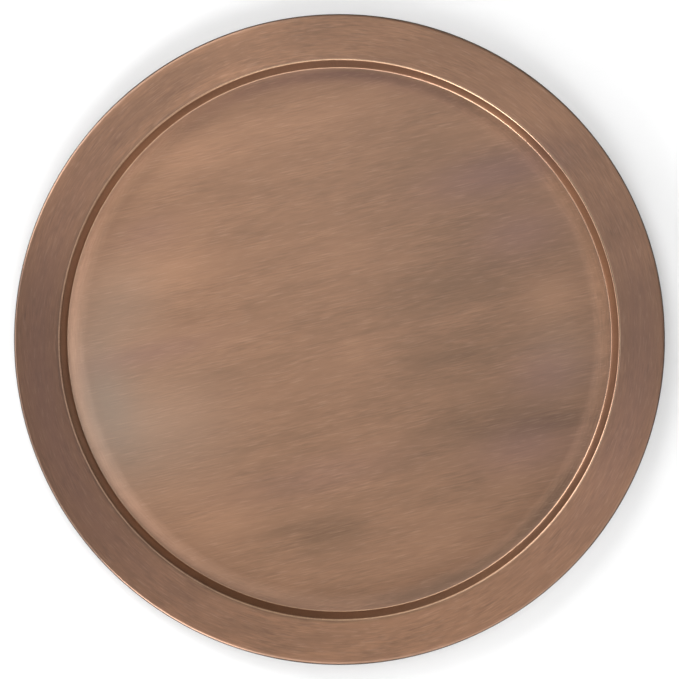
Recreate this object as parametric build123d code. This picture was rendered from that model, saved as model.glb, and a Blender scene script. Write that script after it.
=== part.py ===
from build123d import *
import os
from math import asin, cos, degrees, radians, tan

# Round copper serving tray: a flat floor, a soft cove, a short steep wall, a wide level rim, and an outer
# edge that is rolled under round a steel wire. All sizes are in millimetres.
# The frame: +Z is up, and the origin is the middle of the flat underside, where the tray stands.

# Driving dimensions.
overall_diameter = 350.0
overall_height = 16.0  # from the table to the top of the rim
sheet = 0.8  # thickness of the copper, the same everywhere

# The well. Each bend has the radius of its inside, which is the hollow side of the sheet.
rim_width = 25.0  # from the outer edge in to the corner where the level rim turns down into the wall
wall_run = 2.0  # how far the wall leans in, from that corner to the corner at its foot
mouth_bend = 0.4  # the corner between rim and wall, hollow underneath
foot_bend = 1.0  # the corner between wall and cove, hollow on top
cove_bend = 29.0  # the cove, hollow on top
cove_angle = 20.0  # how steep the cove has become where it meets the foot, in degrees

# The wired edge.
wire_diameter = 2.0
wire_clearance = 0.05  # between the wire and the inside of the roll, all round
wire_gap = 1.0  # between the two cut ends of the wire ring
lip_gap = 0.4  # between the cut lip of the roll and the underside of the rim above it

# Worked out from those.
mouth_radius = overall_diameter / 2 - rim_width
foot_radius = mouth_radius - wall_run
roll_inside = wire_diameter / 2 + wire_clearance
roll_outside = roll_inside + sheet
roll_centre = Vector(overall_diameter / 2 - roll_outside, overall_height - roll_outside)
roll_turn = 270 + degrees(asin((roll_inside - lip_gap) / roll_outside))


def bend_reach(bend, turn):
    """How far an arc reaches along each of its two straight runs: bend is its radius, turn is in degrees."""
    return bend * tan(radians(turn / 2))


def top_corners():
    """The corners of the top face in half section, before they are rounded, from the centre outwards."""
    # The slope at the edge of the floor is just long enough for the cove's arc and then the foot's.
    slope = bend_reach(cove_bend, cove_angle) + bend_reach(foot_bend, 90 - cove_angle)
    slope_run = slope * cos(radians(cove_angle))
    slope_rise = slope_run * tan(radians(cove_angle))
    return [
        Vector(0, sheet),
        Vector(foot_radius - slope_run, sheet),
        Vector(foot_radius, sheet + slope_rise),
        Vector(mouth_radius, overall_height),
        Vector(roll_centre.X, overall_height),
    ]


def sunk_corner(before, corner, after, depth):
    """A corner of the top face moved into the sheet, to lie at depth below both of the runs that meet there."""
    arriving = (corner - before).normalized()
    leaving = (after - corner).normalized()
    below_arriving = Vector(arriving.Y, -arriving.X)
    below_leaving = Vector(leaving.Y, -leaving.X)
    return corner + (below_arriving + below_leaving) * (depth / (1 + below_arriving.dot(below_leaving)))


def sheet_line(depth):
    """The line at depth below the top face in half section, from the centre out and on round the roll."""
    tops = top_corners()
    straight_down = Vector(0, -depth)
    corners = [tops[0] + straight_down]
    corners += [sunk_corner(*tops[i - 1 : i + 2], depth) for i in range(1, len(tops) - 1)]
    corners += [tops[-1] + straight_down]
    bends = [cove_bend + depth, foot_bend + depth, mouth_bend + sheet - depth]
    pressed = FilletPolyline(*corners, radius=bends)
    rolled = CenterArc(roll_centre, roll_outside - depth, 90, -roll_turn)
    return Wire(pressed.edges() + rolled.edges())


def make_tray_pan():
    """One sheet of even thickness: its half section, turned about the axis."""
    top = sheet_line(0)
    underside = sheet_line(sheet)
    at_axis = Line(top @ 0, underside @ 0)
    at_lip = Line(top @ 1, underside @ 1)
    section = make_face(top.edges() + underside.edges() + [at_axis, at_lip])
    return revolve(Plane.XZ * section, Axis.Z)


def make_edge_wire():
    """A round wire bent to a ring inside the roll, open by the gap between its cut ends."""
    gap_angle = degrees(wire_gap / roll_centre.X)
    section = Pos(roll_centre) * Circle(wire_diameter / 2)
    ring = revolve(Plane.XZ * section, Axis.Z, revolution_arc=360 - gap_angle)
    return Rot(0, 0, gap_angle / 2) * ring


os.makedirs("parts", exist_ok=True)
nodes = {
    "tray_pan": make_tray_pan(),
    "edge_wire": make_edge_wire(),
}
for name, solid in nodes.items():
    export_step(solid, f"parts/{name}.step")
    box = solid.bounding_box()
    print(f"{name}: {solid.volume:.1f} mm3, {box.size.X:.2f} x {box.size.Y:.2f} x {box.size.Z:.2f} mm")
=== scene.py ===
# %% [markdown]
# # A round copper tray with an antiqued, brushed finish
#
# The real tray is one disc of copper sheet. It is pressed to make the floor and the wall, its edge is rolled
# under round a steel wire, and then it is darkened in a bath and brushed back until the copper shows again.
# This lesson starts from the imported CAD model, which fixes every size, and makes the tray's visible surface
# with enough steps round the circle for a smooth edge and clean reflections.

# %% Load the fixed frame
import math

import bpy
import numpy as np
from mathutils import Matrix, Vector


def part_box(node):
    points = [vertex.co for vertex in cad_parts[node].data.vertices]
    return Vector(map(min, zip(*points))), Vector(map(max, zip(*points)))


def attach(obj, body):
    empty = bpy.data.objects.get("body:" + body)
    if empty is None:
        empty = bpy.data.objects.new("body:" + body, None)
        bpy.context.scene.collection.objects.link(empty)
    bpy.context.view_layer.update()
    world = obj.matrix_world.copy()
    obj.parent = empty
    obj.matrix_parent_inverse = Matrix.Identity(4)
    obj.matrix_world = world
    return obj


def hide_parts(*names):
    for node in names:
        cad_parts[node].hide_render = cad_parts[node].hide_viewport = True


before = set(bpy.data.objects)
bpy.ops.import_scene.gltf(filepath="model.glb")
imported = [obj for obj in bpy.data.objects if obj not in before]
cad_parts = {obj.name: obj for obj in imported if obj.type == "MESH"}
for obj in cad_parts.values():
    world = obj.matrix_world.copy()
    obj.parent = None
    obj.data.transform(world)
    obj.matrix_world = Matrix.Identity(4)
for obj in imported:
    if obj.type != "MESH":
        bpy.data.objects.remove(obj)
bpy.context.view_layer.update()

# %% [markdown]
# ## Sizes
#
# The frame gives the two overall sizes. The bends of the sheet are the designer's, so they are said again
# here. A bend's radius is that of its hollow side. Everything is in millimetres until a mesh is filled in.

# %% Sizes of the tray
MM = 0.001
_, pan_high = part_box("tray_pan")
edge_radius = round(pan_high.x / MM, 3)
rim_height = round(pan_high.z / MM, 3)

sheet = 0.8
rim_width = 25.0
wall_run = 2.0
mouth_bend = 0.4
foot_bend = 1.0
cove_bend = 29.0
cove_angle = math.radians(20)
wire_radius = 1.0
wire_clearance = 0.05
wire_gap = 1.0
lip_gap = 0.4

mouth_radius = edge_radius - rim_width
foot_radius = mouth_radius - wall_run
roll_outside = wire_radius + wire_clearance + sheet
roll_radius = edge_radius - roll_outside
roll_height = rim_height - roll_outside
roll_turn = math.radians(270) + math.asin((wire_radius + wire_clearance - lip_gap) / roll_outside)
print(f"tray {2 * edge_radius:.1f} mm across, {rim_height:.1f} mm high, mouth radius {mouth_radius:.1f} mm")

# %% [markdown]
# ## The section of the sheet
#
# A sheet-metal worker describes a section as a walk: so far straight on, then a bend of this radius through
# this angle. The walk below starts at the middle of the floor and ends at the lip of the rolled edge. Each
# run is worked out exactly, point by point, together with the direction that is square to the sheet, so the
# underside is the same walk moved by the sheet's thickness.

# %% Walk along the section
def reach(bend, turn):
    """How far an arc reaches along its straight runs: its radius times the tangent of half the turn."""
    return bend * math.tan(abs(turn) / 2)


def walk(start, runs):
    """Points and upward normals along straight runs (length, 0, 0, steps) and bends (0, radius, turn, steps).

    On a straight run a point is start + distance * heading. On a bend the heading turns evenly, and the point
    moves by radius * (sin, -cos) of the heading, with the turn's sign. The normal is the heading turned left.
    """
    point, heading = np.array(start, float), 0.0
    points, headings = [point[None]], [np.array([heading])]
    for length, radius, turn, steps in runs:
        share = np.linspace(0, 1, steps + 1)[1:]
        along = heading + turn * share
        if turn:
            signed = math.copysign(radius, turn)
            swing = np.column_stack([np.sin(along), -np.cos(along)])
            stretch = point + signed * (swing - [math.sin(heading), -math.cos(heading)])
        else:
            stretch = point + np.outer(length * share, [math.cos(heading), math.sin(heading)])
        points.append(stretch)
        headings.append(along)
        point, heading = stretch[-1], along[-1]
    points, headings = np.concatenate(points), np.concatenate(headings)
    return points, np.column_stack([-np.sin(headings), np.cos(headings)])


# %% The top face, from the middle out to the lip of the roll
slope = reach(cove_bend, cove_angle) + reach(foot_bend, math.pi / 2 - cove_angle)
slope_rise = slope * math.sin(cove_angle)
wall_rise = rim_height - sheet - slope_rise
wall_angle = math.atan2(wall_rise, wall_run)
mouth_top_bend = mouth_bend + sheet

floor_run = foot_radius - slope * math.cos(cove_angle) - reach(cove_bend, cove_angle)
slope_run = slope - reach(cove_bend, cove_angle) - reach(foot_bend, wall_angle - cove_angle)
wall_length = math.hypot(wall_run, wall_rise)
wall_length -= reach(foot_bend, wall_angle - cove_angle) + reach(mouth_top_bend, wall_angle)
rim_run = roll_radius - mouth_radius - reach(mouth_top_bend, wall_angle)

top_runs = {  # length and radius in mm, turn in radians, and the number of steps
    "floor": (floor_run, 0, 0, 34),
    "cove": (0, cove_bend, cove_angle, 14),
    "slope": (slope_run, 0, 0, 1),
    "foot": (0, foot_bend, wall_angle - cove_angle, 10),
    "wall": (wall_length, 0, 0, 5),
    "mouth": (0, mouth_top_bend, -wall_angle, 12),
    "rim": (rim_run, 0, 0, 16),
    "roll": (0, roll_outside, -roll_turn, 32),
}
top_points, top_normals = walk((0, sheet), top_runs.values())
row_of = dict(zip(top_runs, np.cumsum([run[3] for run in top_runs.values()])))
print(f"section: {len(top_points)} rows, floor {floor_run:.1f} mm")
print(f"wall: {math.degrees(wall_angle):.1f} degrees steep")

# %% [markdown]
# ## Turning the section into the pan
#
# The pan is a lathe surface, so two numbers give every point: how far along the section, and the angle round
# the axis. The section runs out along the top face, round the lip and back along the underside. The two ends
# on the axis are single points, each closed by a fan of triangles.

# %% Lathe
round_steps = 384
sharp_corner = math.radians(40)


def lathe(name, section, steps):
    """A closed surface from a section that starts and ends on the axis.

    The point at row i and angle a is (r_i cos a, r_i sin a, z_i), with both ends kept as one point each.
    """
    angles = np.arange(steps) * 2 * np.pi / steps
    r, z = section[1:-1, 0:1], section[1:-1, 1:2]
    x, y = r * np.cos(angles), r * np.sin(angles)
    grid = np.stack([x, y, z + 0 * x], axis=-1).reshape(-1, 3)
    ends = np.column_stack([[0, 0], [0, 0], section[[0, -1], 1]])
    rows = len(section) - 2
    here = np.arange(rows - 1)[:, None] * steps + np.arange(steps)
    beside = np.arange(rows - 1)[:, None] * steps + np.roll(np.arange(steps), -1)
    quads = np.stack([here, here + steps, beside + steps, beside], axis=-1).reshape(-1, 4)
    ring, beside_ring = np.arange(steps), np.roll(np.arange(steps), -1)
    last = (rows - 1) * steps
    first_fan = np.column_stack([np.full(steps, len(grid)), ring, beside_ring])
    last_fan = np.column_stack([np.full(steps, len(grid) + 1), last + beside_ring, last + ring])
    mesh = bpy.data.meshes.new(name)
    faces = quads.tolist() + first_fan.tolist() + last_fan.tolist()
    mesh.from_pydata(np.concatenate([grid, ends]) * MM, [], faces)
    mesh.shade_smooth()
    mesh.set_sharp_from_angle(angle=sharp_corner)
    piece = bpy.data.objects.new(name, mesh)
    bpy.context.scene.collection.objects.link(piece)
    return piece


underside = top_points - sheet * top_normals
pan_section = np.concatenate([top_points, underside[::-1]])
pan = lathe("copper_pan", pan_section, round_steps)
print(f"copper_pan: {len(pan.data.vertices)} points, {len(pan.data.polygons)} faces")

# %% The pan rides on the body and stands for its CAD solid
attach(pan, "root")
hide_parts("tray_pan")

# %% [markdown]
# ## Where each finish lies
#
# One disc of copper carries five finishes. The floor and the cove were brushed straight across. The foot, the
# wall and the mouth keep the upright marks of the die that the sheet was drawn over. The rim and the crown of
# the roll were brushed along the circle. The side of the roll is darkened nearly to black, as painted shade
# where it turns under, and the underside was only turned. Each band of rows gets its own material slot, in
# the order of the walk.

# %% Rows to finishes
crown_steps = 5  # rows of the roll that keep the rim's finish; past them its side takes the painted shade


def finish_of_rows():
    """The slot of each row of faces, found by where the row lies among the last rows of the finishes.

    0 is the floor and the cove, 1 the foot, wall and mouth, 2 the rim and the crown of the roll, 3 the roll's
    side and 4 the underside.
    """
    row = np.arange(len(pan_section) - 1)
    ends = [row_of["slope"], row_of["mouth"], row_of["rim"] + crown_steps, len(top_points) - 1]
    return np.searchsorted(ends, row, side="right")


row_finish = finish_of_rows()
ring_finish = np.repeat(row_finish[1:-1], round_steps)
fan_finish = np.repeat(row_finish[[0, -1]], round_steps)
face_finish = np.concatenate([ring_finish, fan_finish])
pan.data.polygons.foreach_set("material_index", face_finish.astype(np.int32))
print("rows in each finish:", np.bincount(row_finish).tolist())

# %% [markdown]
# ## Where the patina is thick or rubbed away, and where light and shade are painted
#
# The darkening bath leaves clouds, and the hand that brushes the copper back out presses harder in some
# places. Those patches are a few centimetres across, so they are listed one by one: soft ovals along the
# grain of the floor, and soft arcs along the circle. A positive strength is lighter copper, a negative one
# thicker patina. The patches also carry painted light: the ovals make the floor lighter on the left and
# darker on the right, as the light falls across it, the arcs along the foot paint crescents of reflection
# and shade, and the one on the mouth at the left paints shade over that bend. In a few more places the
# patina is tinted instead: grey in the cove, which there also paints a cool reflection, and plum.

# %% Clouds of patina and painted light
grain_angle = math.radians(13)
# Partly painted light: the ovals on the left are lighter and those on the right darker, as the light falls.
patina_and_light_ovals = [  # x, y, half length and half width in mm, and how much lighter the copper is there
    (105, 5, 50, 75, -0.06),
    (52, -8, 34, 16, -0.12),
    (60, 34, 40, 12, -0.12),
    (60, -52, 36, 12, -0.12),
    (-4, -104, 26, 9, -0.20),
    (110, -46, 28, 12, -0.20),
    (90, 94, 30, 10, -0.20),
    (12, 88, 26, 7, -0.08),
    (38, -139, 22, 6, -0.08),
    (112, 25, 14, 10, 0.16),
    (92, -76, 14, 8, 0.10),
    (-98, 34, 36, 14, 0.20),
    (-104, -42, 34, 16, 0.22),
    (-118, 0, 24, 14, 0.10),
    (-62, -100, 20, 9, 0.16),
    (-92, -84, 26, 14, 0.10),
    (-90, 96, 26, 14, 0.10),
    (-20, 120, 60, 10, 0.08),
]
patina_and_light_arcs = [  # bearing in degrees, radius in mm, half angle, half width in mm, and how much lighter
    # Along the foot: painted reflection where lighter, painted shade where darker.
    (192, 145.5, 40, 3.4, 0.54),
    (215, 143, 65, 4.5, 0.17),
    (135, 144.5, 26, 3.5, 0.16),
    (84, 144.5, 32, 2.6, -0.20),
    (316, 145, 30, 3, -0.22),
    # On the mouth at the left: painted shade over the bend.
    (210, 150.3, 84, 1.4, -0.45),
    # On the rim: lighter or darker round the circle.
    (50, 162, 26, 12, 0.07),
    (130, 162, 28, 12, -0.14),
    (252, 162, 26, 12, -0.10),
]
grey_reflection_ovals = [  # the same, with how grey it is; in the cove the grey also paints a cool reflection
    (-130, -30, 18, 40, 0.5),
    (-104, -50, 44, 34, 0.3),
    (-118, 20, 22, 26, 0.25),
    (120, -8, 20, 20, 0.15),
]
plum_ovals = [  # the same, with how plum-coloured the patina is
    (84, 90, 36, 12, 0.5),
    (98, 58, 24, 14, 0.4),
    (114, -18, 20, 14, 0.4),
    (102, -58, 28, 14, 0.4),
    (-104, -8, 34, 7, 0.3),
    (-10, -74, 44, 10, 0.2),
    (-104, 58, 18, 10, 0.2),
]
plum_arcs = [
    (192, 162, 44, 14, 0.45),
    (350, 162, 34, 14, 0.35),
    (90, 144, 30, 4, 0.4),
]


def soft_ovals(points, ovals):
    """Adds one bell curve per oval, strength * exp(-(along / half length)^2 - (across / half width)^2).

    along and across are measured from the oval's middle, along the grain and square to it.
    """
    grain = np.array([math.cos(grain_angle), math.sin(grain_angle)])
    total = np.zeros(len(points))
    for x, y, half_length, half_width, strength in ovals:
        off = points - [x, y]
        along, across = off @ grain, off @ [-grain[1], grain[0]]
        total += strength * np.exp(-((along / half_length) ** 2) - (across / half_width) ** 2)
    return total


def soft_arcs(points, arcs):
    """Adds one bell curve per arc, in the bearing by its half angle and in the radius by its half width."""
    bearings, radii = np.degrees(np.arctan2(points[:, 1], points[:, 0])), np.hypot(*points.T)
    total = np.zeros(len(points))
    for bearing, radius, half_angle, half_width, strength in arcs:
        turned = (bearings - bearing + 180) % 360 - 180
        total += strength * np.exp(-((turned / half_angle) ** 2) - ((radii - radius) / half_width) ** 2)
    return total


# The ovals and arcs hold painted light and shade as well as thick or thin patina.
print(f"{len(patina_and_light_ovals)} ovals and {len(patina_and_light_arcs)} arcs of thick or thin patina")

# %% [markdown]
# ## Rubbed bends with painted highlights, and painted shade on the roll's side
#
# The bends and the crown of the roll are rubbed smoother by use, and their colour is lightened there as a
# painted highlight. How light is a matter of the distance from the bend, measured along the section, and of
# the side of the tray, set where the lamps' highlights fall on that bend. Further round the roll the colour
# goes nearly black, as painted shade where the roll turns under. All of this is stored on the mesh as a value
# per point, so the materials only have to read it.

# %% Rubbed bends with painted highlights, and the roll's painted shade
bend_wear_and_highlights = [  # where, half width in mm, strength, side in degrees, and how far it fades across the tray
    ("mouth", 0.6, 0.9, 20, 1.0),
    ("foot", 0.5, 1.0, 15, 1.0),
    ("crown", 0.8, 0.6, 200, 0.6),
]
crown_turn = 30  # degrees round the roll from the rim to the middle of the rubbed crown
roll_shade_start = 34  # degrees round the roll where the painted shade of its side begins
roll_shade_fade = 12  # degrees from there to where the painted shade is full


def distance_along(section):
    """How far along the section each of its points lies: the running sum of the steps between them."""
    return np.concatenate([[0], np.cumsum(np.hypot(*np.diff(section, axis=0).T))])


def per_point(per_row):
    """A value for each row as one for each mesh point: the rings in order, then the two on the axis."""
    return np.concatenate([np.repeat(per_row[1:-1], round_steps), per_row[[0, -1]]])


def bell(distance, half_width):
    """A bell curve that is 1 at no distance and falls to about a third at the half width."""
    return np.exp(-((distance / half_width) ** 2))


def wear_and_highlight_points(section, points):
    """How rubbed each point is, which also sets its painted highlight: bells along the section round each
    bend, fading away from one side.

    A bend's bell is multiplied by 1 - fade + fade * ((1 + cos(bearing - side)) / 2) squared, which is 1 on
    the bend's own side and 1 - fade across the tray from it.
    """
    along = distance_along(section)
    middles = {name: along[row_of[name] - top_runs[name][3] // 2] for name in ("mouth", "foot")}
    middles["crown"] = along[row_of["rim"]] + roll_outside * math.radians(crown_turn)
    bearings = np.arctan2(points[:, 1], points[:, 0])
    wear_and_highlight = np.zeros(len(points))
    for name, half_width, strength, side, fade in bend_wear_and_highlights:
        share = 1 - fade + fade * ((1 + np.cos(bearings - math.radians(side))) / 2) ** 2
        wear_and_highlight += strength * per_point(bell(along - middles[name], half_width)) * share
    return np.clip(wear_and_highlight, 0, 1)


def roll_shade_by_row(section):
    """The painted shade of the roll's side: 0 up to the crown of the roll, then rising to 1 over the fade and
    staying 1 to the lip.
    """
    along = distance_along(section)
    turned = np.degrees((along - along[row_of["rim"]]) / roll_outside)
    side = np.clip((turned - roll_shade_start) / roll_shade_fade, 0, 1)
    return side * (np.arange(len(section)) < len(top_points))


def store(mesh, name, values):
    mesh.attributes.new(name, "FLOAT", "POINT").data.foreach_set("value", values.astype(np.float32))


places = np.empty(len(pan.data.vertices) * 3, np.float32)
pan.data.vertices.foreach_get("co", places)
plan = places.reshape(-1, 3)[:, :2] / MM
on_top = per_point((np.arange(len(pan_section)) < len(top_points)).astype(float))
inside = np.hypot(*plan.T) < foot_radius
# How rubbed each bend is, which also sets its painted highlight.
store(pan.data, "wear_and_highlight", wear_and_highlight_points(pan_section, plan) * on_top)
# Patina patches, which also carry painted light and shade.
store(pan.data, "patina_and_light", (soft_ovals(plan, patina_and_light_ovals) + soft_arcs(plan, patina_and_light_arcs)) * on_top)
# Grey patina, which also paints a cool reflection in the cove.
store(pan.data, "grey_and_reflection", soft_ovals(plan, grey_reflection_ovals) * inside * on_top)
store(pan.data, "plum", (soft_ovals(plan, plum_ovals) + soft_arcs(plan, plum_arcs)) * on_top)
# The painted shade of the roll's side.
store(pan.data, "roll_side_shade", per_point(roll_shade_by_row(pan_section)))
print("stored on each point:", [stored.name for stored in pan.data.attributes if stored.domain == "POINT"])

# %% [markdown]
# ## Small helpers for nodes
#
# Colours are written as they look on screen, so one function turns them into the linear numbers of a shader.
# Another adds a node with its settings and links, and everything below is built with it.

# %% Colour and node helpers
def to_linear(hex_colour):
    """An sRGB hex colour as linear numbers: (v + 0.055) / 1.055 to the power 2.4, or v / 12.92 near black."""
    srgb = np.array([int(hex_colour[i : i + 2], 16) for i in (1, 3, 5)]) / 255
    linear = np.where(srgb <= 0.04045, srgb / 12.92, ((srgb + 0.055) / 1.055) ** 2.4)
    return (*linear.tolist(), 1.0)


def add(tree, kind, feed=None, **settings):
    """Adds a node. settings are its properties; feed gives each input a value, or another node's output."""
    node = tree.nodes.new("ShaderNode" + kind)
    for name, value in settings.items():
        setattr(node, name, value)
    for name, value in (feed or {}).items():
        if isinstance(value, bpy.types.NodeSocket):
            tree.links.new(value, node.inputs[name])
        else:
            node.inputs[name].default_value = value
    return node


def shades(ramp_node, stops):
    """Gives a colour ramp its stops: (position, hex colour)."""
    ramp = ramp_node.color_ramp
    while len(ramp.elements) < len(stops):
        ramp.elements.new(0.5)
    for element, (position, colour) in zip(ramp.elements, stops):
        element.position = position
        element.color = to_linear(colour)


def sum_up(tree, start, parts):
    """start plus gain * (value - 0.5) for each (value, gain), so a part at its middle changes nothing."""
    total = start - sum(gain for _, gain in parts) / 2
    for value, gain in parts:
        total = add(tree, "Math", {0: value, 1: gain, 2: total}, operation="MULTIPLY_ADD").outputs[0]
    return total


# %% [markdown]
# ## Brush marks
#
# A brush leaves streaks that are much longer than they are wide. A noise pattern gets that shape from its
# coordinates: one unit is a streak's length along the grain, and a streak's width across it. On the floor the
# grain is straight. On the rim it follows the circle, so one coordinate is the radius, and the other two are
# the point's direction from the middle, which has no seam. On the wall the marks stand upright: they are a
# fraction of a degree wide, and as long as the wall is high.
#
# The marks of a real brush are about 0.1 mm wide. They are drawn 0.7 to 0.8 mm wide, which is as fine as a
# view of the whole tray can show. The patina's own mottling is drawn out the same way, but far larger.

# %% Brush marks
mark_size = {"straight": (12, 0.75), "round": (8, 0.7), "upright": (6, 0.8)}  # length and width in mm
mottle_size = {"straight": (45, 6), "round": (22, 3)}
rim_middle = edge_radius - rim_width / 2


def straight_way(tree, place, length, width):
    """The point turned back by the grain's angle, divided by the streak's length and width."""
    size = (length * MM, width * MM, width * MM)
    feed = {"Vector": place, "Rotation": (0, 0, grain_angle), "Scale": size}
    return add(tree, "Mapping", feed, vector_type="TEXTURE").outputs[0]


def round_way(tree, place, upright, step, radius, arc):
    """Direction from the middle times radius / arc, with the radius or the height / step as the third."""
    flat = add(tree, "VectorMath", {0: place, 1: (1, 1, 0)}, operation="MULTIPLY").outputs[0]
    outward = add(tree, "VectorMath", {0: flat}, operation="NORMALIZE").outputs[0]
    spread = add(tree, "VectorMath", {0: outward, "Scale": radius / arc}, operation="SCALE").outputs[0]
    if upright:
        measure = add(tree, "SeparateXYZ", {0: place}).outputs["Z"]
    else:
        measure = add(tree, "VectorMath", {0: flat}, operation="LENGTH").outputs["Value"]
    steps = add(tree, "Math", {0: measure, 1: step * MM}, operation="DIVIDE").outputs[0]
    third = add(tree, "CombineXYZ", {"Z": steps}).outputs[0]
    return add(tree, "VectorMath", {0: spread, 1: third}, operation="ADD").outputs[0]


def brushed_way(tree, way, place, length, width):
    """Coordinates that count streaks of this length and width, the way that the brush or the die went."""
    if way == "straight":
        return straight_way(tree, place, length, width)
    if way == "round":
        return round_way(tree, place, False, width, rim_middle, length)
    return round_way(tree, place, True, length, mouth_radius, width)


def marks(tree, way, place, size=1.0):
    """Streaks from 0 to 1. size makes the brush marks longer and wider alike."""
    length, width = mark_size[way]
    where = brushed_way(tree, way, place, length * size, width * size)
    feed = {"Vector": where, "Scale": 1.0, "Detail": 2.0, "Roughness": 0.55}
    return add(tree, "TexNoise", feed).outputs["Fac"]


def mottling(tree, way, place):
    """The patina's own uneven colour, drawn out along the brush's way."""
    way = way if way == "straight" else "round"
    where = brushed_way(tree, way, place, *mottle_size[way])
    feed = {"Vector": where, "Scale": 1.0, "Detail": 4.0, "Roughness": 0.7}
    return add(tree, "TexNoise", feed).outputs["Fac"]


def slow_noise(tree, place, length, width, detail):
    """Patches of this length and width that lie along the straight grain, whichever way the brush went."""
    feed = {"Vector": straight_way(tree, place, length, width), "Scale": 1.0, "Detail": detail}
    return add(tree, "TexNoise", feed).outputs["Fac"]


def grain_direction(tree, way, place):
    """Along the straight grain, or square to the line from the middle: the axis crossed with the point."""
    if way == "straight":
        feed = {"X": math.cos(grain_angle), "Y": math.sin(grain_angle)}
        return add(tree, "CombineXYZ", feed).outputs[0]
    return add(tree, "VectorMath", {0: (0, 0, 1), 1: place}, operation="CROSS_PRODUCT").outputs[0]


# %% [markdown]
# ## Antiqued copper
#
# Copper darkened in a bath of liver of sulphur, brushed back and thinly waxed. It is bare metal, so its base
# colour is the colour of its reflections. The brushing spreads a highlight across the grain and hardly along
# it, which is what anisotropy does. One number says how far each place is worn back, with the painted light
# and shade of the patches added in. It picks the colour from a ramp of shades, which go from thick brown
# patina to pale copper, and worn metal is also a little smoother. Tints then paint the highlights of the
# bends, a cool reflection in the cove and the shade of the roll's side.

# %% Antiqued copper
floor_shades = [  # wear as a share of full wear, and the colour there
    (0.08, "#634D3D"),
    (0.27, "#7A5E4A"),
    (0.43, "#8F6D56"),
    (0.61, "#A17B61"),
    (0.8, "#B58B70"),
    (1.0, "#D0A587"),
]
rim_shades = [(0.08, "#644B3C"), (0.27, "#7B5D49"), (0.43, "#906C54"), (0.61, "#A27A5F"), (0.8, "#B5896B")]
wall_shades = [(0.08, "#6E5847"), (0.40, "#A38368"), (0.72, "#C19D80")]
# Bare copper, for scratches and for the painted highlights of the bends.
bare_and_highlight_copper = to_linear("#C9A691")
# Grey patina, which in the cove also paints a cool reflection.
grey_patina_and_reflection = to_linear("#948679")
plum_patina = to_linear("#896963")
# Near black: the painted shade of the roll's side.
painted_shade_black = to_linear("#3F3028")

full_wear = 1.25  # the wear at the pale end of the shades
bundle_size, drift_size = (50, 12), (90, 30)  # length and width in mm
light_pressure, firm_pressure = 0.5, 1.6  # how strongly a bundle of marks shows where the brush ran so
broad_size, scratch_size = 5, 0.9  # against the size of the brush marks
drift_gain, broad_gain = 0.30, 0.3  # how much the drift shows, and the broad marks against the fine ones
scratch_low, scratch_high = 0.56, 0.70  # marks between these turn into scratches that show bare copper
scratch_share, bend_highlight_share = 0.13, 0.4  # how bare a scratch is, and how much bare colour a fully rubbed bend takes as painted highlight
turn_start, turn_end = 14, 3  # mm inside the foot where the straight marks give way to round ones
mean_roughness, wear_smooths, marks_roughen, rubbing_smooths = 0.5, -0.12, 0.10, -0.36
mark_depth = 0.04  # mm
wax_roughness = 0.35


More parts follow.
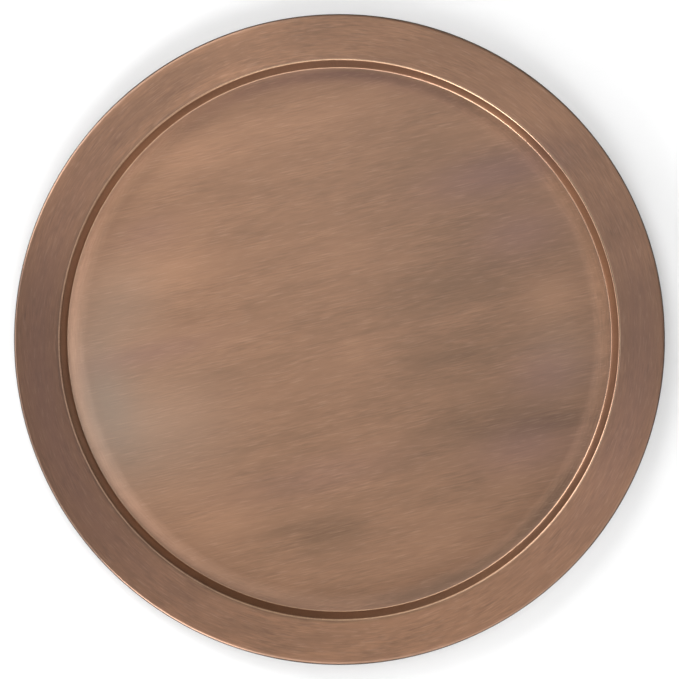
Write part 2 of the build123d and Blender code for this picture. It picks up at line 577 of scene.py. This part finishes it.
def antiqued_copper(name, way, shade_stops, worn, spread, mark_gain, mottle_gain, waxed=0.5):
    """One finish of the pan, with its grain's way and its shades from thick patina to brushed-back copper.

    worn is how far it is brushed back on average, spread is its anisotropy, the gains say how much the brush
    marks and the mottling of the patina show, and waxed is the weight of the thin clear coat over it all.
    """
    material = bpy.data.materials.new(name)
    material.use_nodes = True
    tree = material.node_tree
    surface = tree.nodes["Principled BSDF"]
    place = add(tree, "TexCoord").outputs["Object"]
    patina_and_light, wear_and_highlight, grey_and_reflection, plum, roll_side_shade = (
        add(tree, "Attribute", attribute_name=stored).outputs["Fac"]
        for stored in ("patina_and_light", "wear_and_highlight", "grey_and_reflection", "plum", "roll_side_shade")
    )

    fine = marks(tree, way, place)
    if way == "straight":
        radius = add(tree, "VectorMath", {0: place}, operation="LENGTH").outputs["Value"]
        band = {0: radius, 1: (foot_radius - turn_start) * MM, 2: (foot_radius - turn_end) * MM}
        turned = add(tree, "MapRange", band, interpolation_type="SMOOTHSTEP").outputs[0]
        fine = add(tree, "Mix", {0: turned, 2: fine, 3: marks(tree, "round", place)}).outputs[0]
    bundles = slow_noise(tree, place, *bundle_size, 1.0)
    pressing = {0: bundles, 1: 0.35, 2: 0.65, 3: light_pressure, 4: firm_pressure}
    pressure = add(tree, "MapRange", pressing).outputs[0]
    centred = add(tree, "Math", {0: fine, 1: 0.5}, operation="SUBTRACT").outputs[0]
    fine = add(tree, "Math", {0: centred, 1: pressure, 2: 0.5}, operation="MULTIPLY_ADD").outputs[0]

    drift = slow_noise(tree, place, *drift_size, 3.0)
    broad = marks(tree, way, place, size=broad_size)
    mottle = mottling(tree, way, place)
    parts = [(drift, drift_gain), (broad, broad_gain * mark_gain), (fine, mark_gain), (mottle, mottle_gain)]
    wear = sum_up(tree, worn, parts)
    # The patches add patina and painted light and shade to the wear.
    wear = add(tree, "Math", {0: wear, 1: patina_and_light}, operation="ADD").outputs[0]
    share = add(tree, "Math", {0: wear, 1: 1 / full_wear}, operation="MULTIPLY").outputs[0]
    tone = add(tree, "ValToRGB", {0: share})
    shades(tone, shade_stops)

    scratch = {0: marks(tree, way, place, size=scratch_size), 1: scratch_low, 2: scratch_high}
    scratched = add(tree, "MapRange", scratch).outputs[0]
    # A rubbed bend takes bare colour as a painted highlight; a scratch shows real bare copper.
    bare_and_highlight = add(tree, "Math", {0: wear_and_highlight, 1: bend_highlight_share}, operation="MULTIPLY").outputs[0]
    bare_and_highlight = add(tree, "Math", {0: scratched, 1: scratch_share, 2: bare_and_highlight}, operation="MULTIPLY_ADD").outputs[0]
    colour = tone.outputs[0]
    # Tints: grey with a painted reflection, plum, bare copper with painted highlights, and black painted
    # shade.
    for amount, tint in (
        (grey_and_reflection, grey_patina_and_reflection),
        (plum, plum_patina),
        (bare_and_highlight, bare_and_highlight_copper),
        (roll_side_shade, painted_shade_black),
    ):
        colour = add(tree, "Mix", {0: amount, 6: colour, 7: tint}, data_type="RGBA").outputs[2]

    rough = sum_up(tree, mean_roughness, [(wear, wear_smooths), (fine, marks_roughen)])
    rough = add(tree, "Math", {0: wear_and_highlight, 1: rubbing_smooths, 2: rough}, operation="MULTIPLY_ADD").outputs[0]
    bump = add(tree, "Bump", {"Strength": 1.0, "Distance": mark_depth * MM, "Height": fine}).outputs[0]
    direction = grain_direction(tree, way, place)
    feeds = {"Base Color": colour, "Roughness": rough, "Normal": bump, "Tangent": direction}
    for socket, output in feeds.items():
        tree.links.new(output, surface.inputs[socket])
    surface.inputs["Metallic"].default_value = 1.0
    surface.inputs["Coat Weight"].default_value = waxed
    surface.inputs["Coat Roughness"].default_value = wax_roughness
    surface.inputs["Anisotropic"].default_value = spread
    surface.inputs["Anisotropic Rotation"].default_value = 0.0 if way == "upright" else 0.25
    return material


for finish in (  # name, way, shades, worn, spread, mark gain and mottle gain
    antiqued_copper("straight_brushed_copper", "straight", floor_shades, 0.51, 0.8, 0.33, 0.24),
    antiqued_copper("drawn_copper", "upright", wall_shades, 0.72, 0.5, 0.30, 0.2, waxed=0.3),
    antiqued_copper("round_brushed_copper", "round", rim_shades, 0.52, 0.8, 0.42, 0.22),
    # The roll's side: dark shades and no wax, with its near-black painted shade.
    antiqued_copper("roll_shade_copper", "round", rim_shades, 0.30, 0.5, 0.30, 0.2, waxed=0.0),
    antiqued_copper("turned_copper", "round", rim_shades, 0.42, 0.7, 0.35, 0.4),
):
    pan.data.materials.append(finish)
print("finishes:", [finish.name for finish in pan.data.materials])

# %% [markdown]
# ## The wire in the rolled edge
#
# A ring of steel wire stiffens the edge. It shows only as a thin line inside the roll, seen from underneath.
# Its ends meet with a small gap. The wire is a circle carried along the ring, with a flat disc on each end.

# %% Edge wire
def bent_wire(name, ring_radius, height, radius, gap, steps, sides):
    """A circle of the wire's radius carried along the ring, from half the gap on one side of +X to the other.

    The point at angle a round the ring and b round the wire lies at distance ring + wire * cos b from the
    axis, and at height + wire * sin b. The two end discs are one face each.
    """
    half_gap = gap / 2 / ring_radius
    a = np.linspace(half_gap, 2 * np.pi - half_gap, steps + 1)[:, None]
    b = np.linspace(0, 2 * np.pi, sides, endpoint=False)
    reach_out = ring_radius + radius * np.cos(b)
    rise = height + radius * np.sin(b) + 0 * a
    points = np.stack([reach_out * np.cos(a), reach_out * np.sin(a), rise], axis=-1)
    here = np.arange(steps)[:, None] * sides + np.arange(sides)
    beside = np.arange(steps)[:, None] * sides + np.roll(np.arange(sides), -1)
    quads = np.stack([here, here + sides, beside + sides, beside], axis=-1).reshape(-1, 4)
    discs = [np.arange(sides).tolist(), (steps * sides + np.arange(sides))[::-1].tolist()]
    mesh = bpy.data.meshes.new(name)
    mesh.from_pydata(points.reshape(-1, 3) * MM, [], quads.tolist() + discs)
    mesh.shade_smooth()
    mesh.set_sharp_from_angle(angle=sharp_corner)
    piece = bpy.data.objects.new(name, mesh)
    bpy.context.scene.collection.objects.link(piece)
    return piece


wire_sides = 20
wire = bent_wire("steel_edge_wire", roll_radius, roll_height, wire_radius, wire_gap, round_steps, wire_sides)
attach(wire, "root")
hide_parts("edge_wire")
print(f"steel_edge_wire: {2 * roll_radius:.1f} mm across the ring, {len(wire.data.polygons)} faces")

# %% [markdown]
# ## Drawn steel wire
#
# Wire that was pulled through a die is bright and has fine marks along its length, with darker spots where
# the drawing soap stayed on.

# %% Drawn steel
spot_size = 6  # mm
line_depth = 0.01  # mm


def drawn_steel():
    material = bpy.data.materials.new("drawn_steel")
    material.use_nodes = True
    tree = material.node_tree
    surface = tree.nodes["Principled BSDF"]
    place = add(tree, "TexCoord").outputs["Object"]
    lines = marks(tree, "round", place, size=0.5)
    spotted = {"Vector": place, "Scale": 1 / (spot_size * MM), "Detail": 3.0}
    spots = add(tree, "TexNoise", spotted).outputs["Fac"]
    tone = add(tree, "ValToRGB", {0: sum_up(tree, 0.5, [(lines, 0.5), (spots, 0.9)])})
    shades(tone, [(0.2, "#77757A"), (0.5, "#9C9B9D"), (0.85, "#B9B8B6")])
    bump = add(tree, "Bump", {"Strength": 1.0, "Distance": line_depth * MM, "Height": lines})
    tree.links.new(tone.outputs[0], surface.inputs["Base Color"])
    tree.links.new(sum_up(tree, 0.36, [(spots, 0.2), (lines, 0.1)]), surface.inputs["Roughness"])
    tree.links.new(bump.outputs[0], surface.inputs["Normal"])
    surface.inputs["Metallic"].default_value = 1.0
    return material


wire.data.materials.append(drawn_steel())

# %% [markdown]
# ## A white table
#
# The tray lies on a sheet of matte white board. Its faint mottling keeps it from being one flat value. The
# softboxes only reach the board near the tray, so further out it gives off a soft light of its own, which
# keeps the ground pale in a low view. The tray sees that far part edge on, so it adds almost no light there.

# %% White board
board_mottle = 20  # mm
glow_start, glow_end = 0.6, 2.5  # metres from the middle of the tray
glow_strength = 0.9


def white_board():
    material = bpy.data.materials.new("white_board")
    material.use_nodes = True
    tree = material.node_tree
    surface = tree.nodes["Principled BSDF"]
    place = add(tree, "TexCoord").outputs["Object"]
    mottled = {"Vector": place, "Scale": 1 / (board_mottle * MM), "Detail": 2.0}
    mottle = add(tree, "TexNoise", mottled).outputs["Fac"]
    tone = add(tree, "ValToRGB", {0: mottle})
    shades(tone, [(0.0, "#F6F6F6"), (1.0, "#F9F9F9")])
    tree.links.new(tone.outputs[0], surface.inputs["Base Color"])
    surface.inputs["Roughness"].default_value = 1.0
    surface.inputs["Specular IOR Level"].default_value = 0.0
    distance = add(tree, "VectorMath", {0: place}, operation="LENGTH").outputs["Value"]
    rising = {0: distance, 1: glow_start, 2: glow_end, 4: glow_strength}
    glow = add(tree, "MapRange", rising, interpolation_type="SMOOTHSTEP").outputs[0]
    tree.links.new(tone.outputs[0], surface.inputs["Emission Color"])
    tree.links.new(glow, surface.inputs["Emission Strength"])
    return material


half_board = 40.0  # metres
corners = [(-half_board, -half_board, 0), (half_board, -half_board, 0), (half_board, half_board, 0)]
corners.append((-half_board, half_board, 0))
board_mesh = bpy.data.meshes.new("studio_floor")
board_mesh.from_pydata(corners, [], [(0, 1, 2, 3)])
board_mesh.materials.append(white_board())
studio_floor = bpy.data.objects.new("studio_floor", board_mesh)
bpy.context.scene.collection.objects.link(studio_floor)

# %% [markdown]
# ## Studio light
#
# Round softboxes stand round the tray in three rings, 1.4 m from its middle. The low ones draw the bright
# lines along the bends and throw the soft shadow to one side. The middle ones and the high one lift the floor
# and the rim. The sky is bright at the horizon and dim overhead, as in a room with pale walls, so the metal
# has something to reflect from any side.

# %% Softboxes
softbox_distance = 1.4  # metres
softbox_size = 0.8  # metres across
softbox_rings = {  # height in degrees, and the watts of the softbox at each bearing in degrees
    15: {240: 12, 150: 10, 300: 4, 210: 3, 180: 3},
    45: {120: 8, 270: 6, 330: 4, 30: 2},
    78: {60: 3.5},
}
for rise, ring in softbox_rings.items():
    for bearing, watts in ring.items():
        turn, tilt = math.radians(bearing), math.radians(rise)
        lamp = bpy.data.lights.new(f"softbox_{rise}_{bearing}", "AREA")
        lamp.shape = "DISK"
        lamp.size = softbox_size
        lamp.energy = watts
        softbox = bpy.data.objects.new(lamp.name, lamp)
        softbox.location = [
            softbox_distance * math.cos(tilt) * math.cos(turn),
            softbox_distance * math.cos(tilt) * math.sin(turn),
            softbox_distance * math.sin(tilt),
        ]
        softbox.rotation_euler = (math.pi / 2 - tilt, 0, turn + math.pi / 2)
        softbox.visible_camera = False
        bpy.context.scene.collection.objects.link(softbox)
powers = [watts for ring in softbox_rings.values() for watts in ring.values()]
print(f"{len(powers)} softboxes, {sum(powers):.1f} W in all")

# %% Sky
sky_strength = 0.3
sky_falloff = 1.5


def pale_room():
    """Brightness falls from the horizon to the zenith as (1 - height) to the power of the falloff."""
    world = bpy.data.worlds.new("pale_room")
    world.use_nodes = True
    tree = world.node_tree
    way_up = add(tree, "SeparateXYZ", {0: add(tree, "TexCoord").outputs["Generated"]}).outputs["Z"]
    height = add(tree, "Math", {0: way_up}, operation="ABSOLUTE").outputs[0]
    below_top = add(tree, "Math", {0: 1.0, 1: height}, operation="SUBTRACT").outputs[0]
    glow = add(tree, "Math", {0: below_top, 1: sky_falloff}, operation="POWER").outputs[0]
    tree.links.new(glow, tree.nodes["Background"].inputs["Color"])
    tree.nodes["Background"].inputs["Strength"].default_value = sky_strength
    return world


bpy.context.scene.world = pale_room()

# %% [markdown]
# ## Camera
#
# The camera looks straight down on the tray from a little over a metre. The lens makes the tray fill the
# frame but for a narrow margin.

# %% Camera
camera_height = 1.16  # metres above the rim
focal_length = 114.55  # mm
camera_data = bpy.data.cameras.new("camera")
camera_data.lens = focal_length
camera = bpy.data.objects.new("camera", camera_data)
camera.location = (0, 0, camera_height + rim_height * MM)
bpy.context.scene.collection.objects.link(camera)
bpy.context.scene.camera = camera
bpy.context.scene.view_settings.view_transform = "Standard"
